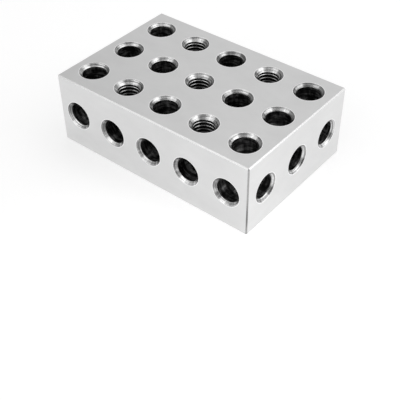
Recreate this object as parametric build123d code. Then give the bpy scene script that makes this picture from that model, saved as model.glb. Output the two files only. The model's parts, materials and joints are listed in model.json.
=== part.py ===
from build123d import *
import os
from math import radians, tan

# Machinist's setup block: one piece of hardened steel, ground square on all six faces
# and drilled through in three directions, so that the three sets of holes cross inside.
# Frame: X along the length, Y along the width, Z up, origin at the middle of the underside.
# All sizes are in millimetres.

# Block, 3 by 2 by 1 inches
block_length = 76.2
block_width = 50.8
block_height = 25.4
edge_break = 0.4  # leg of the 45 degree chamfer on every outer edge

# Hole grid: columns along the length, rows across the width, one level at half the height
column_count = 5
row_count = 3
end_distance = 7.9  # from an end face to the centres of the outer columns
side_distance = 8.95  # from a long side face to the centres of the outer rows

# Plain holes are drilled 5/16 inch, tapped holes have the core diameter of an M8 thread
plain_bore = 7.9375
plain_mouth = 9.8
tapped_bore = 6.8
tapped_mouth = 9.3
countersink_angle = 90.0
cutter_overrun = 1.0  # how far a cutter runs on past each face

column_pitch = (block_length - 2 * end_distance) / (column_count - 1)
row_pitch = (block_width - 2 * side_distance) / (row_count - 1)
hole_level = block_height / 2


def ground_blank():
    """The block before drilling, standing on Z = 0, with every edge broken."""
    blank = Pos(0, 0, block_height / 2) * Box(block_length, block_width, block_height)
    return chamfer(blank.edges(), edge_break)


def hole_cutter(bore, mouth, length):
    """A cutter along Z for a through hole, countersunk to the mouth diameter at both faces."""
    slope = tan(radians(countersink_angle / 2))
    cone_depth = (mouth - bore) / 2 / slope
    half = length / 2
    end = half + cutter_overrun
    flare = mouth / 2 + cutter_overrun * slope
    outline = Polyline(
        (0, -end),
        (flare, -end),
        (bore / 2, cone_depth - half),
        (bore / 2, half - cone_depth),
        (flare, end),
        (0, end),
        close=True,
    )
    return revolve(Plane.XZ * make_face(outline), Axis.Z)


def steps_from_centre(count):
    """Whole or half steps of a row of evenly spaced holes, counted from its middle."""
    return [i - (count - 1) / 2 for i in range(count)]


def vertical_cutters():
    """The grid of holes through the top. The middle hole and those diagonal to it are tapped."""
    plain = hole_cutter(plain_bore, plain_mouth, block_height)
    tapped = hole_cutter(tapped_bore, tapped_mouth, block_height)
    cutters = []
    for column in steps_from_centre(column_count):
        for row in steps_from_centre(row_count):
            cutter = tapped if abs(column) == abs(row) else plain
            place = Pos(column * column_pitch, row * row_pitch, hole_level)
            cutters.append(place * cutter)
    return cutters


def crosswise_cutters():
    """One hole from side to side under each column of the grid."""
    cutter = Rot(90, 0, 0) * hole_cutter(plain_bore, plain_mouth, block_width)
    return [Pos(column * column_pitch, 0, hole_level) * cutter for column in steps_from_centre(column_count)]


def lengthwise_cutters():
    """One hole from end to end under each row of the grid."""
    cutter = Rot(0, 90, 0) * hole_cutter(plain_bore, plain_mouth, block_length)
    return [Pos(0, row * row_pitch, hole_level) * cutter for row in steps_from_centre(row_count)]


setup_block = ground_blank()
for cutter in vertical_cutters() + crosswise_cutters() + lengthwise_cutters():
    setup_block -= cutter

os.makedirs("parts", exist_ok=True)
export_step(setup_block, "parts/setup_block.step")
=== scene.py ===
import json
from math import atan2, pi, radians, tan

import bmesh
import bpy
from mathutils import Matrix, Vector


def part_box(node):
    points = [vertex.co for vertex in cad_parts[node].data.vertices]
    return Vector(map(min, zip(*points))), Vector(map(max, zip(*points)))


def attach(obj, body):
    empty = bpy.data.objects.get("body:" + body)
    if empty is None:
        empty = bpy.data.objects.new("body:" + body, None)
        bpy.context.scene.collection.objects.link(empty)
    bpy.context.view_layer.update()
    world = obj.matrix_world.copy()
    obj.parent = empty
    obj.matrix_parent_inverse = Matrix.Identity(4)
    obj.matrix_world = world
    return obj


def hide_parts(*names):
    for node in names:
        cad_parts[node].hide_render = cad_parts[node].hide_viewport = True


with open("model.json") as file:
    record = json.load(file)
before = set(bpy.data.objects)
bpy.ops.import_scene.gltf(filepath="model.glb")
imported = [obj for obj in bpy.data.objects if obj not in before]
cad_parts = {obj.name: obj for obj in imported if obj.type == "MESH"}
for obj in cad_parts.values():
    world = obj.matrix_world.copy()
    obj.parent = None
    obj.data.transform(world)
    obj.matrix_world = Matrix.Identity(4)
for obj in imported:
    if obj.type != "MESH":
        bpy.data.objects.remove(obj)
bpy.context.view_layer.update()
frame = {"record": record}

# A ground steel setup block with countersunk holes crossing in three directions.
# Everything is in metres, in the frame of the block: X along its length, Y across it,
# Z up, with the origin at the middle of the underside.

MM = 0.001

block_low, block_high = (Vector(corner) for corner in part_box("setup_block"))
block_size = block_high - block_low
block_middle = (block_low + block_high) / 2

# Hole sizes and spacings, as the block's mounts give them
mounts = {mount["name"]: mount["dims"] for mount in frame["record"]["mounts"]}
column_count = 5
row_count = 3
column_pitch = mounts["tapped_rectangle"]["spacing_x_mm"] * MM / 2
row_pitch = mounts["tapped_rectangle"]["spacing_y_mm"] * MM / 2
plain_radius = mounts["plain_rectangle"]["hole_r_mm"] * MM
core_radius = mounts["tapped_rectangle"]["hole_r_mm"] * MM

# Edges and mouths
edge_break = 0.4 * MM  # 45 degree chamfer
plain_mouth_radius = 4.9 * MM
tapped_mouth_radius = 4.65 * MM
rim_width = 0.22 * MM  # rim round each countersink, coloured as a painted highlight
rim_depth = 0.01 * MM
cutter_overrun = 0.3 * MM  # how far a cutter stands out of the block
hole_segments = 128
merge_distance = 1e-7

# M8 x 1.25 thread
thread_pitch = 1.25 * MM
thread_major_radius = 4.0 * MM
thread_root_flat = thread_pitch / 8
thread_flank_angle = radians(30)
thread_overlap = 0.12 * MM  # how far the groove's cutter reaches inside the core bore
thread_crest_break = 0.13 * MM  # slope rubbed on the upper corner of each crest
thread_steps = 72  # facets in one turn
crest_bright_depth = 1.4 * MM  # depth down to which the crests are brightest
crest_dark_depth = 4.4 * MM  # depth from which on they are darkest

# Surfaces of the block, in the order of its material slots
GROUND, RIM, EDGE, CORNER, COUNTERSINK, BORE, THREAD, CREST = range(8)
pattern_shift = 0.1  # metres between the surface patterns of neighbouring holes


def steps_from_centre(count):
    """Whole or half steps of a row of evenly spaced holes, counted from its middle."""
    return [i - (count - 1) / 2 for i in range(count)]


def vertical_places(tapped):
    """Centres of the tapped or the plain holes of the grid, at half the block's height."""
    return [
        block_middle + Vector((column * column_pitch, row * row_pitch, 0))
        for column in steps_from_centre(column_count)
        for row in steps_from_centre(row_count)
        if (abs(column) == abs(row)) == tapped
    ]


def crosswise_places():
    """Centres of the holes from long side to long side."""
    steps = steps_from_centre(column_count)
    return [block_middle + Vector((step * column_pitch, 0, 0)) for step in steps]


def lengthwise_places():
    """Centres of the holes from end to end."""
    steps = steps_from_centre(row_count)
    return [block_middle + Vector((0, step * row_pitch, 0)) for step in steps]


# Node helpers

def add(tree, kind, **settings):
    """A new node with its attributes set."""
    node = tree.nodes.new(kind)
    for name, value in settings.items():
        setattr(node, name, value)
    return node


def set_inputs(node, **values):
    """Sets a node's sockets by name. An underscore stands for a space."""
    for name, value in values.items():
        node.inputs[name.replace("_", " ")].default_value = value


def new_group(name, inputs, outputs):
    """An empty shader node group with named value, colour and vector sockets."""
    group = bpy.data.node_groups.new(name, "ShaderNodeTree")
    kinds = {"value": "NodeSocketFloat", "colour": "NodeSocketColor", "vector": "NodeSocketVector"}
    for socket, kind in inputs.items():
        group.interface.new_socket(name=socket, in_out="INPUT", socket_type=kinds[kind])
    for socket, kind in outputs.items():
        group.interface.new_socket(name=socket, in_out="OUTPUT", socket_type=kinds[kind])
    return group, add(group, "NodeGroupInput"), add(group, "NodeGroupOutput")


def stretched_noise_group():
    """Fine noise drawn out along one direction: the scratches of a stone, a tool or a drill."""
    group, start, end = new_group(
        "stretched_noise",
        {"Surface": "vector", "Stretch": "vector", "Detail": "value"},
        {"Height": "value"},
    )
    scaled = add(group, "ShaderNodeVectorMath", operation="MULTIPLY")
    noise = add(group, "ShaderNodeTexNoise")
    set_inputs(noise, Scale=1.0, Roughness=0.6)
    group.links.new(start.outputs["Surface"], scaled.inputs[0])
    group.links.new(start.outputs["Stretch"], scaled.inputs[1])
    group.links.new(scaled.outputs[0], noise.inputs["Vector"])
    group.links.new(start.outputs["Detail"], noise.inputs["Detail"])
    group.links.new(noise.outputs["Fac"], end.inputs["Height"])
    return group


def shade_range_group():
    """A value between two greys, picked by a height."""
    group, start, end = new_group(
        "shade_range",
        {"Height": "value", "Low": "value", "High": "value", "Dark": "value", "Light": "value"},
        {"Shade": "value"},
    )
    spread = add(group, "ShaderNodeMapRange", clamp=True)
    group.links.new(start.outputs["Height"], spread.inputs["Value"])
    group.links.new(start.outputs["Low"], spread.inputs["From Min"])
    group.links.new(start.outputs["High"], spread.inputs["From Max"])
    group.links.new(start.outputs["Dark"], spread.inputs["To Min"])
    group.links.new(start.outputs["Light"], spread.inputs["To Max"])
    group.links.new(spread.outputs["Result"], end.inputs["Shade"])
    return group


def hole_marks_group():
    """Noise that closes round a hole, read from the part of a turn and the depth: tool marks and scale."""
    group, start, end = new_group(
        "hole_marks",
        {"Surface": "vector", "Around": "value", "Along": "value", "Detail": "value"},
        {"Height": "value"},
    )
    split = add(group, "ShaderNodeSeparateXYZ")
    turn = add(group, "ShaderNodeMath", operation="MULTIPLY")
    turn.inputs[1].default_value = 2 * pi
    across = add(group, "ShaderNodeMath", operation="COSINE")
    up = add(group, "ShaderNodeMath", operation="SINE")
    circle = add(group, "ShaderNodeCombineXYZ")
    widened = add(group, "ShaderNodeVectorMath", operation="SCALE")
    depth = add(group, "ShaderNodeMath", operation="MULTIPLY")
    lift = add(group, "ShaderNodeCombineXYZ")
    place = add(group, "ShaderNodeVectorMath", operation="ADD")
    noise = add(group, "ShaderNodeTexNoise")
    set_inputs(noise, Scale=1.0, Roughness=0.6)
    group.links.new(start.outputs["Surface"], split.inputs[0])
    group.links.new(split.outputs["X"], turn.inputs[0])
    group.links.new(turn.outputs[0], across.inputs[0])
    group.links.new(turn.outputs[0], up.inputs[0])
    group.links.new(across.outputs[0], circle.inputs["X"])
    group.links.new(up.outputs[0], circle.inputs["Y"])
    group.links.new(circle.outputs[0], widened.inputs[0])
    group.links.new(start.outputs["Around"], widened.inputs["Scale"])
    group.links.new(split.outputs["Y"], depth.inputs[0])
    group.links.new(start.outputs["Along"], depth.inputs[1])
    group.links.new(depth.outputs[0], lift.inputs["Z"])
    group.links.new(widened.outputs[0], place.inputs[0])
    group.links.new(lift.outputs[0], place.inputs[1])
    group.links.new(place.outputs[0], noise.inputs["Vector"])
    group.links.new(start.outputs["Detail"], noise.inputs["Detail"])
    group.links.new(noise.outputs["Fac"], end.inputs["Height"])
    return group


stretched_noise = stretched_noise_group()
shade_range = shade_range_group()
hole_marks = hole_marks_group()


def place_group(tree, group, **values):
    """A copy of a node group in a material, with its own values."""
    node = add(tree, "ShaderNodeGroup", node_tree=group)
    set_inputs(node, **values)
    return node


class Finish:
    """A steel material under construction: its tree, its shader and the surface coordinates."""

    def __init__(self, name, metallic, roughness, anisotropic=0.0, turn=0.0):
        self.material = bpy.data.materials.new(name)
        self.material.use_nodes = True
        self.tree = self.material.node_tree
        self.shader = self.tree.nodes["Principled BSDF"]
        set_inputs(self.shader, Metallic=metallic, Roughness=roughness, Anisotropic=anisotropic)
        set_inputs(self.shader, Anisotropic_Rotation=turn)
        self.surface = add(self.tree, "ShaderNodeUVMap", uv_map="surface").outputs["UV"]
        if anisotropic:
            tangent = add(self.tree, "ShaderNodeTangent", direction_type="UV_MAP", uv_map="surface")
            self.link(tangent.outputs["Tangent"], self.shader.inputs["Tangent"])

    def link(self, source, target):
        self.tree.links.new(source, target)

    def scratches(self, along, across, detail=2.0):
        """Noise on a flat face, in waves per metre along and across the grinding."""
        noise = place_group(self.tree, stretched_noise, Stretch=(along, across, 1.0), Detail=detail)
        self.link(self.surface, noise.inputs["Surface"])
        return noise.outputs["Height"]

    def marks(self, around, along, detail=2.0):
        """Noise on the wall of a hole, in waves for a third of a turn and waves per metre of depth."""
        noise = place_group(self.tree, hole_marks, Around=around, Along=along, Detail=detail)
        self.link(self.surface, noise.inputs["Surface"])
        return noise.outputs["Height"]

    def shade(self, height, heights, shades):
        """Turns a span of heights into a span of greys."""
        low, high = heights
        dark, light = shades
        spread = place_group(self.tree, shade_range, Low=low, High=high, Dark=dark, Light=light)
        self.link(height, spread.inputs["Height"])
        return spread.outputs["Shade"]

    def from_middle(self):
        """Height above or below the middle of the block."""
        split = add(self.tree, "ShaderNodeSeparateXYZ")
        self.link(add(self.tree, "ShaderNodeTexCoord").outputs["Object"], split.inputs[0])
        offset = add(self.tree, "ShaderNodeMath", operation="SUBTRACT")
        offset.inputs[1].default_value = block_middle.z
        self.link(split.outputs["Z"], offset.inputs[0])
        distance = add(self.tree, "ShaderNodeMath", operation="ABSOLUTE")
        self.link(offset.outputs[0], distance.inputs[0])
        return distance.outputs[0]

    def product(self, first, second):
        multiply = add(self.tree, "ShaderNodeMath", operation="MULTIPLY")
        self.link(first, multiply.inputs[0])
        self.link(second, multiply.inputs[1])
        return multiply.outputs[0]

    def colour(self, value):
        self.link(value, self.shader.inputs["Base Color"])

    def roughness(self, value):
        self.link(value, self.shader.inputs["Roughness"])

    def bump(self, height, strength, distance):
        bump = add(self.tree, "ShaderNodeBump")
        set_inputs(bump, Strength=strength, Distance=distance)
        self.link(height, bump.inputs["Height"])
        self.link(bump.outputs["Normal"], self.shader.inputs["Normal"])


def ground_steel():
    """Surface-ground faces: pale, even, with fine scratches along the table's travel."""
    finish = Finish("ground_steel", metallic=1.0, roughness=0.4, anisotropic=0.35, turn=0.25)
    lines = finish.scratches(60.0, 6000.0, detail=3.0)
    clouds = finish.scratches(90.0, 160.0)
    finish.colour(finish.shade(clouds, (0.3, 0.7), (0.72, 0.756)))
    finish.roughness(finish.shade(lines, (0.3, 0.7), (0.38, 0.42)))
    finish.bump(lines, 0.08, 0.01 * MM)
    return finish.material


def rim_painted_highlight():
    """The thin bright ring round each mouth: its pale colour is a painted highlight, on a rim whose slope
    catches light too.
    """
    finish = Finish("rim_painted_highlight", metallic=1.0, roughness=0.4)
    lines = finish.marks(8.0, 3000.0)
    finish.colour(finish.shade(lines, (0.3, 0.7), (0.88, 0.98)))
    finish.roughness(finish.shade(lines, (0.3, 0.7), (0.36, 0.44)))
    return finish.material


def broken_edge(name, shades):
    """Chamfered edges, stoned by hand."""
    finish = Finish(name, metallic=1.0, roughness=0.25)
    lines = finish.scratches(400.0, 3000.0)
    finish.colour(finish.shade(lines, (0.3, 0.7), shades))
    finish.bump(lines, 0.2, 0.01 * MM)
    return finish.material


def turned_countersink():
    """Bright cones with the rings that a countersink bit leaves."""
    finish = Finish("turned_countersink", metallic=1.0, roughness=0.22, anisotropic=0.7, turn=0.25)
    rings = finish.marks(0.6, 3600.0, detail=3.0)
    chatter = finish.marks(9.0, 1200.0, detail=3.0)
    finish.colour(finish.product(
        finish.shade(rings, (0.4, 0.6), (0.3, 0.74)),
        finish.shade(chatter, (0.35, 0.65), (0.8, 1.0)),
    ))
    finish.roughness(finish.shade(rings, (0.3, 0.7), (0.16, 0.28)))
    finish.bump(rings, 0.4, 0.02 * MM)
    return finish.material


def bore_painted_shade():
    """Drilled walls coloured near black as painted shade, with paler rings and streaks."""
    finish = Finish("bore_painted_shade", metallic=0.6, roughness=0.4)
    set_inputs(finish.shader, Specular_IOR_Level=0.3)
    streaks = finish.marks(4.0, 260.0, detail=4.0)
    rings = finish.marks(1.0, 1000.0, detail=4.0)
    finish.colour(finish.product(
        finish.shade(streaks, (0.38, 0.72), (0.15, 1.0)),
        finish.shade(rings, (0.44, 0.62), (0.02, 0.3)),
    ))
    finish.bump(rings, 0.25, 0.02 * MM)
    return finish.material


def thread_painted_shade():
    """The grooves and flanks of the thread, coloured near black like the bores: painted shade."""
    finish = Finish("thread_painted_shade", metallic=0.6, roughness=0.4)
    set_inputs(finish.shader, Specular_IOR_Level=0.2)
    marks = finish.marks(6.0, 1500.0, detail=3.0)
    finish.colour(finish.shade(marks, (0.35, 0.75), (0.008, 0.05)))
    finish.bump(marks, 0.2, 0.01 * MM)
    return finish.material


def crest_darker_inward():
    """Thread crests, brighter near the mouths and darker further in."""
    finish = Finish("crest_darker_inward", metallic=1.0, roughness=0.22, anisotropic=0.6, turn=0.25)
    marks = finish.marks(6.0, 1500.0, detail=3.0)
    half_height = block_size.z / 2
    fade_depths = (half_height - crest_dark_depth, half_height - crest_bright_depth)
    inward_fade = finish.shade(finish.from_middle(), fade_depths, (0.2, 1.0))
    finish.colour(finish.product(finish.shade(marks, (0.3, 0.7), (0.45, 0.8)), inward_fade))
    finish.bump(marks, 0.2, 0.01 * MM)
    return finish.material


finishes = [
    ground_steel(),
    rim_painted_highlight(),
    broken_edge("stoned_edge", (0.66, 0.76)),
    # the upright chamfers get a darker copy of the edge colour: painted shade
    broken_edge("corner_edge_painted_shade", (0.32, 0.4)),
    turned_countersink(),
    bore_painted_shade(),
    thread_painted_shade(),
    crest_darker_inward(),
]


# Mesh helpers

def as_object(bm, name):
    """A bmesh as a linked object that carries the block's materials."""
    mesh = bpy.data.meshes.new(name)
    bm.to_mesh(mesh)
    bm.free()
    for finish in finishes:
        mesh.materials.append(finish)
    made = bpy.data.objects.new(name, mesh)
    bpy.context.scene.collection.objects.link(made)
    return made


def ground_blank():
    """The block before drilling, with its edges chamfered."""
    bm = bmesh.new()
    bmesh.ops.create_cube(bm, size=1.0)
    bmesh.ops.scale(bm, vec=block_size, verts=bm.verts)
    bmesh.ops.translate(bm, vec=block_middle, verts=bm.verts)
    chamfers = bmesh.ops.bevel(
        bm, geom=bm.edges[:], offset=edge_break, offset_type="OFFSET", segments=1,
        profile=0.5, affect="EDGES", material=-1,
    )
    for face in chamfers["faces"]:
        upright = abs(face.normal.z) < 0.1
        # upright chamfers take the darker CORNER colour, which is painted shade
        face.material_index = CORNER if upright else EDGE
    lay_flat_pattern(bm)
    return as_object(bm, "setup_block_steel")


def lay_flat_pattern(bm):
    """Surface coordinates in metres for the flat faces: scratches run along X, or along Y on the ends."""
    layer = bm.loops.layers.uv.new("surface")
    for face in bm.faces:
        along_y = abs(face.normal.x) > max(abs(face.normal.y), abs(face.normal.z))
        level = abs(face.normal.z) >= max(abs(face.normal.x), abs(face.normal.y))
        for loop in face.loops:
            x, y, z = loop.vert.co
            if along_y:
                loop[layer].uv = (y, z)
            elif level:
                loop[layer].uv = (x, y)
            else:
                loop[layer].uv = (x, z)


def lay_round_pattern(bm):
    """Surface coordinates for a round cutter along Z: the part of a turn, and the depth in metres."""
    layer = bm.loops.layers.uv.new("surface")
    for face in bm.faces:
        middle = face.calc_center_median()
        facing = atan2(middle.y, middle.x)
        for loop in face.loops:
            x, y, z = loop.vert.co
            angle = atan2(y, x) - facing
            angle = (angle + pi) % (2 * pi) - pi
            loop[layer].uv = ((facing + angle) / (2 * pi), z)


def hole_cutter(bore_radius, mouth_radius, length, wall):
    """A cutter along Z for a countersunk through hole. wall is the surface that its bore gets."""
    half = length / 2
    end = half + cutter_overrun
    bore_end = half - (mouth_radius - bore_radius)
    rim_inner = mouth_radius - rim_depth
    flare = rim_inner + 2 * rim_width  # half of the rim's slope lies above the face
    rim = [(rim_inner, half - rim_depth), (flare, half + rim_depth), (flare, end)]
    upper = [(bore_radius, bore_end)] + rim + [(0, end)]
    outline = [(radius, -height) for radius, height in reversed(upper)] + upper
    bm = bmesh.new()
    corners = [bm.verts.new((radius, 0, height)) for radius, height in outline]
    sides = [bm.edges.new(pair) for pair in zip(corners, corners[1:])]
    bmesh.ops.spin(
        bm, geom=corners + sides, cent=(0, 0, 0), axis=(0, 0, 1), dvec=(0, 0, 0),
        angle=2 * pi, steps=hole_segments, use_merge=True, use_duplicate=False,
    )
    bmesh.ops.remove_doubles(bm, verts=bm.verts, dist=merge_distance)
    bmesh.ops.recalc_face_normals(bm, faces=bm.faces)
    for face in bm.faces:
        height = abs(face.calc_center_median().z)
        if height < bore_end:
            face.material_index = wall
        elif height < half - rim_depth:
            face.material_index = COUNTERSINK
        else:
            face.material_index = RIM
    lay_round_pattern(bm)
    return bm


def thread_cutter(length):
    """A helical cutter along Z that leaves a right-hand thread in a bore of the core radius."""
    turns = int(length / thread_pitch) + 3
    inner = core_radius - thread_overlap
    break_radius = core_radius + thread_crest_break
    root = thread_root_flat / 2
    upper_mouth = root + (thread_major_radius - inner) * tan(thread_flank_angle)
    lower_flank = root + (thread_major_radius - break_radius) * tan(thread_flank_angle)
    lower_mouth = lower_flank + break_radius - inner
    outline = [
        (inner, -lower_mouth), (break_radius, -lower_flank), (thread_major_radius, -root),
        (thread_major_radius, root), (inner, upper_mouth),
    ]
    start = -turns * thread_pitch / 2
    bm = bmesh.new()
    corners = [bm.verts.new((radius, 0, start + height)) for radius, height in outline]
    sides = [bm.edges.new(pair) for pair in zip(corners, corners[1:] + corners[:1])]
    bmesh.ops.spin(
        bm, geom=corners + sides, cent=(0, 0, 0), axis=(0, 0, 1),
        dvec=(0, 0, thread_pitch / thread_steps), angle=2 * pi * turns,
        steps=turns * thread_steps, use_merge=False, use_duplicate=False,
    )
    open_edges = [edge for edge in bm.edges if edge.is_boundary]
    bmesh.ops.holes_fill(bm, edges=open_edges, sides=len(outline))
    bmesh.ops.recalc_face_normals(bm, faces=bm.faces)
    for face in bm.faces:
        middle = face.calc_center_median()
        on_break = inner < middle.xy.length < break_radius
        face.material_index = CREST if on_break else THREAD
    lay_round_pattern(bm)
    return bm


def gather(cutter, places, turn, name):
    """Copies of one cutter, turned and put in their places, as one object."""
    pattern = bpy.data.meshes.new(name + "_pattern")
    cutter.to_mesh(pattern)
    cutter.free()
    bm = bmesh.new()
    for number, place in enumerate(places):
        old_verts, old_faces = len(bm.verts), len(bm.faces)
        bm.from_mesh(pattern)
        bm.verts.ensure_lookup_table()
        bm.faces.ensure_lookup_table()
        bmesh.ops.transform(bm, matrix=Matrix.Translation(place) @ turn, verts=bm.verts[old_verts:])
        layer = bm.loops.layers.uv["surface"]
        for face in bm.faces[old_faces:]:
            for loop in face.loops:
                loop[layer].uv.y += number * pattern_shift
    bpy.data.meshes.remove(pattern)
    return as_object(bm, name)


def subtract(target, cutter):
    """Cuts one object out of another and removes the cutter."""
    cut = target.modifiers.new("cut", "BOOLEAN")
    cut.operation = "DIFFERENCE"
    cut.solver = "EXACT"
    cut.object = cutter
    bpy.context.view_layer.update()
    shape = bpy.data.meshes.new_from_object(target.evaluated_get(bpy.context.evaluated_depsgraph_get()))
    target.modifiers.clear()
    old = target.data
    target.data = shape
    bpy.data.meshes.remove(old)
    old = cutter.data
    bpy.data.objects.remove(cutter)
    bpy.data.meshes.remove(old)


def drilled_block():
    """The whole block: the blank less its holes, then the thread turns."""
    along_y = Matrix.Rotation(pi / 2, 4, "X")
    along_x = Matrix.Rotation(pi / 2, 4, "Y")
    upright = Matrix.Identity(4)
    plain = (plain_radius, plain_mouth_radius)
    tapped = (core_radius, tapped_mouth_radius)
    sets = [
        ("plain", hole_cutter(*plain, block_size.z, BORE), vertical_places(False), upright, 0.1),
        ("tapped", hole_cutter(*tapped, block_size.z, THREAD), vertical_places(True), upright, 0.1),
        ("crosswise", hole_cutter(*plain, block_size.y, BORE), crosswise_places(), along_y, 0.4),
        ("lengthwise", hole_cutter(*plain, block_size.x, BORE), lengthwise_places(), along_x, 0.7),
        ("thread", thread_cutter(block_size.z), vertical_places(True), upright, 0.4),
    ]
    block = ground_blank()
    for name, cutter, places, turn, facet_shift in sets:
        # Facets of crossing holes are turned apart, so that none of their edges fall together
        shift = Matrix.Rotation(facet_shift * 2 * pi / hole_segments, 4, "Z")
        subtract(block, gather(cutter, places, turn @ shift, name + "_cutter"))
    return block


def shade_by_angle(piece, angle):
    """Smooth shading that stops at sharp edges, at flat faces and where one surface meets another."""
    square_on = 0.99999  # largest part of the normal of a face that lies square to an axis
    bm = bmesh.new()
    bm.from_mesh(piece.data)
    for face in bm.faces:
        face.smooth = max(abs(part) for part in face.normal) < square_on
    for edge in bm.edges:
        first, second = edge.link_faces
        same_surface = first.material_index == second.material_index
        edge.smooth = same_surface and edge.calc_face_angle() < angle
    bm.to_mesh(piece.data)
    bm.free()


block = drilled_block()
shade_by_angle(block, radians(20))
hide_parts("setup_block")
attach(block, "root")


# Floor, lights and camera

def smooth_change(tree, value, reach, tones):
    """A smooth change from the first tone to the second over a reach of the value."""
    change = add(tree, "ShaderNodeMapRange", clamp=True, interpolation_type="SMOOTHSTEP")
    set_inputs(change, From_Min=reach[0], From_Max=reach[1], To_Min=tones[0], To_Max=tones[1])
    tree.links.new(value, change.inputs["Value"])
    return change.outputs["Result"]


def multiplied(tree, first, *others):
    """The product of several sockets."""
    for other in others:
        pair = add(tree, "ShaderNodeMath", operation="MULTIPLY")
        tree.links.new(first, pair.inputs[0])
        tree.links.new(other, pair.inputs[1])
        first = pair.outputs["Value"]
    return first


def paper_painted_glow_and_shade():
    """Paper that glows by itself as painted light, a little more in front of the block's near corner.

    It is darker where the countersinks of the long side mirror it: painted shade, seen only in
    reflections. The camera itself sees it white.
    """
    near_corner = Vector((block_high.x, block_low.y, block_low.z))
    # painted light: the paper's glow is brightest round this centre and fades over glow_reach
    glow_centre = near_corner + Vector((7, -20, 0)) * MM
    glow_reach = (0.0, 85 * MM)
    glow_tones = (0.73, 0.54)
    paper_tone = 0.5
    painted_shade_way = Vector((-0.51, 0.63, 0.59))  # from the paper to the block, away from the camera
    painted_shade_reach = (0.55, 0.85)  # how nearly a ray follows that way
    painted_shade_shares = (1.0, 0.45)  # of the paper's light, outside the darker area and in it
    end_reach = (near_corner.x + 6 * MM, near_corner.x + 12 * MM)
    side_reach = (near_corner.y - 4 * MM, near_corner.y)
    rising, falling = (0.0, 1.0), (1.0, 0.0)
    material = bpy.data.materials.new("paper_painted_glow_and_shade")
    material.use_nodes = True
    tree = material.node_tree
    shader = tree.nodes["Principled BSDF"]
    set_inputs(shader, Roughness=1.0, Emission_Strength=1.0)

    place = add(tree, "ShaderNodeTexCoord").outputs["Object"]
    away = add(tree, "ShaderNodeVectorMath", operation="DISTANCE")
    away.inputs[1].default_value = glow_centre
    tree.links.new(place, away.inputs[0])
    glow = smooth_change(tree, away.outputs["Value"], glow_reach, glow_tones)

    rays = add(tree, "ShaderNodeNewGeometry")
    toward = add(tree, "ShaderNodeVectorMath", operation="DOT_PRODUCT")
    toward.inputs[1].default_value = painted_shade_way
    tree.links.new(rays.outputs["Incoming"], toward.inputs[0])
    along = add(tree, "ShaderNodeSeparateXYZ")
    tree.links.new(place, along.inputs["Vector"])
    light_path = add(tree, "ShaderNodeLightPath")
    # painted shade: a darker patch of paper that only rays from the long side's countersinks see, never
    # the camera
    dark = multiplied(
        tree,
        smooth_change(tree, toward.outputs["Value"], painted_shade_reach, rising),
        smooth_change(tree, along.outputs["X"], end_reach, falling),
        smooth_change(tree, along.outputs["Y"], side_reach, falling),
        smooth_change(tree, light_path.outputs["Is Camera Ray"], rising, falling),
    )
    share = smooth_change(tree, dark, rising, painted_shade_shares)
    base = smooth_change(tree, dark, rising, [paper_tone * part for part in painted_shade_shares])
    tree.links.new(base, shader.inputs["Base Color"])
    tree.links.new(multiplied(tree, glow, share), shader.inputs["Emission Color"])
    return material


def pale_floor():
    """A wide sheet of white paper just under the block."""
    half_width = 4.0
    gap_below = 0.02 * MM
    bm = bmesh.new()
    bmesh.ops.create_grid(bm, x_segments=1, y_segments=1, size=half_width)
    bmesh.ops.translate(bm, vec=(0, 0, block_low.z - gap_below), verts=bm.verts)
    mesh = bpy.data.meshes.new("floor")
    bm.to_mesh(mesh)
    bm.free()
    mesh.materials.append(paper_painted_glow_and_shade())
    floor = bpy.data.objects.new("floor", mesh)
    bpy.context.scene.collection.objects.link(floor)


def softbox(name, azimuth, elevation, width, height, brightness):
    """A rectangular light facing the block. Azimuth 0 is off the long front side, 90 off the right end."""
    distance = 0.6
    light = bpy.data.lights.new(name, "AREA")
    light.shape = "RECTANGLE"
    light.size = width
    light.size_y = height
    light.energy = brightness * pi * width * height
    lamp = bpy.data.objects.new(name, light)
    aim = Matrix.Rotation(radians(azimuth), 4, "Z") @ Matrix.Rotation(radians(90 - elevation), 4, "X")
    lamp.matrix_world = Matrix.Translation(block_middle) @ aim @ Matrix.Translation((0, 0, distance))
    bpy.context.scene.collection.objects.link(lamp)


def studio():
    """A white tent of softboxes, left darker behind the camera so that it shows in the countersinks."""
    world = bpy.data.worlds.new("studio")
    world.use_nodes = True
    set_inputs(world.node_tree.nodes["Background"], Color=(1, 1, 1, 1), Strength=0.3)
    bpy.context.scene.world = world
    softbox("front_key", 4, 36, 0.36, 0.26, 1.55)
    softbox("front_low", 12, 12, 0.5, 0.25, 0.55)
    softbox("left_key", 326, 36, 0.36, 0.26, 0.9)
    softbox("left_low", 308, 12, 0.36, 0.25, 0.45)
    softbox("right_key", 114, 36, 0.4, 0.26, 1.35)
    softbox("right_low", 120, 12, 0.75, 0.25, 1.25)
    softbox("right_back", 146, 36, 0.22, 0.26, 0.62)
    softbox("back_high", 206, 36, 0.75, 0.26, 0.47)
    softbox("back_low", 206, 12, 0.5, 0.25, 0.45)
    softbox("over_right", 138, 61, 0.6, 0.28, 1.2)
    softbox("over_left", 324, 61, 0.34, 0.28, 0.65)
    softbox("over_back", 238, 61, 0.4, 0.28, 0.46)
    softbox("overhead", 0, 90, 0.5, 0.5, 0.75)
    bpy.context.scene.view_settings.view_transform = "Standard"


def photograph_camera():
    camera_place = Vector((133.99, -163.19, 165.85)) * MM
    camera_azimuth, camera_elevation, camera_roll = 39.47, 42.14, -0.67
    data = bpy.data.cameras.new("camera")
    data.sensor_width = 36.0
    data.lens = 71.56
    data.clip_start = 0.01
    camera = bpy.data.objects.new("camera", data)
    camera.matrix_world = (
        Matrix.Translation(camera_place)
        @ Matrix.Rotation(radians(camera_azimuth), 4, "Z")
        @ Matrix.Rotation(radians(90 - camera_elevation), 4, "X")
        @ Matrix.Rotation(radians(camera_roll), 4, "Z")
    )
    bpy.context.scene.collection.objects.link(camera)
    bpy.context.scene.camera = camera


pale_floor()
studio()
photograph_camera()

bpy.context.view_layer.update()
